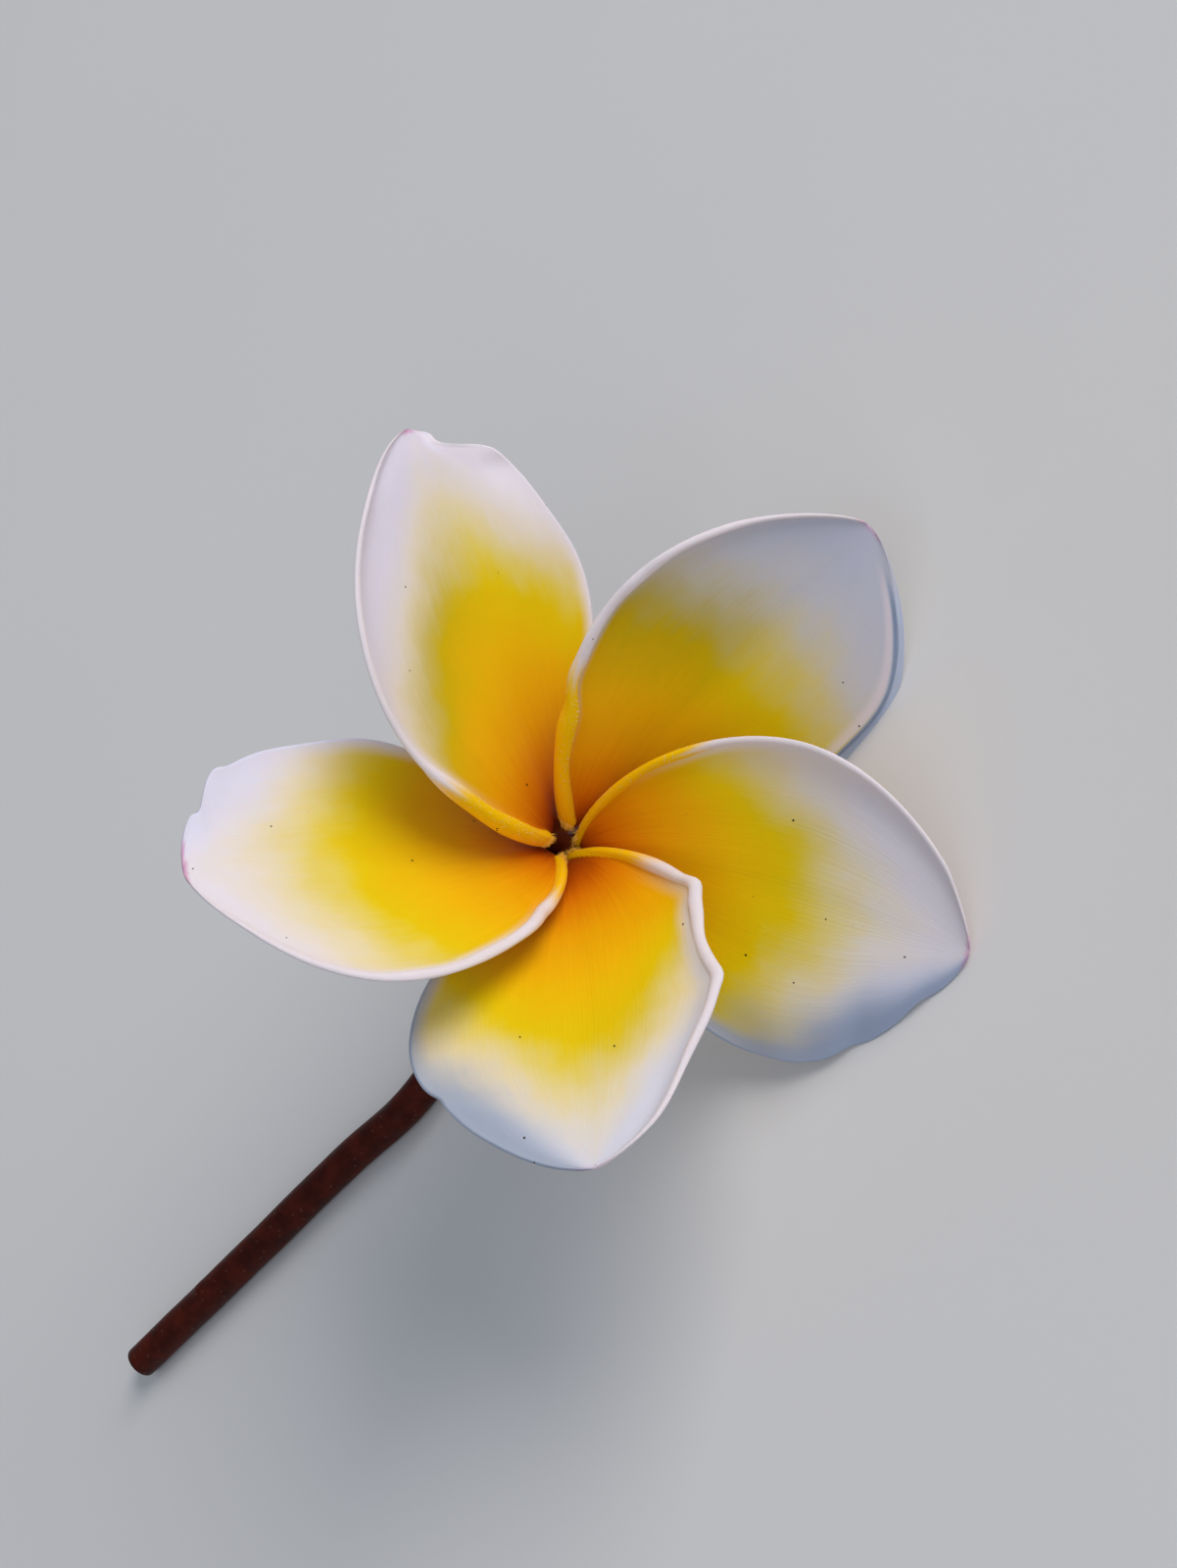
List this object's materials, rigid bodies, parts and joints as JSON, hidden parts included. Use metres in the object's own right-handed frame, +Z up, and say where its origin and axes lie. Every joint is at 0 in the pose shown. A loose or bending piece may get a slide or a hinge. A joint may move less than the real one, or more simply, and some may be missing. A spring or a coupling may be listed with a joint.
{
  "type": "flower",
  "caption": "A single frangipani blossom with overlapping white and yellow petals in a pinwheel, picked with a length of its dark stalk and lying on its side.",
  "frame": {"origin": "middle of the footprint, on the surface the flower lies on", "axes": "+Z is up from the table, +X is the long way of the object, from the cut end of the stalk to the open face of the flower, and +Y completes a right-handed frame"},
  "size_m": [0.1208, 0.0924, 0.0591],
  "materials": {
    "petal_face": "soft satin petal, white at the edge and yellow toward the throat",
    "corolla_tube": "soft satin, pale yellow",
    "stamen": "matt, yellow",
    "pistil": "matt, pale green",
    "calyx": "soft satin, green flushed with red",
    "flower_stalk": "smooth dark red-brown skin"
  },
  "bodies": {
    "root": {"petal_left": "petal_face", "petal_front_left": "petal_face", "petal_front_right": "petal_face", "petal_right": "petal_face", "petal_top": "petal_face", "corolla_tube": "corolla_tube", "stamen_1": "stamen", "stamen_2": "stamen", "stamen_3": "stamen", "stamen_4": "stamen", "stamen_5": "stamen", "pistil": "pistil", "calyx": "calyx", "flower_stalk": "flower_stalk"}
  },
  "joints": []
}
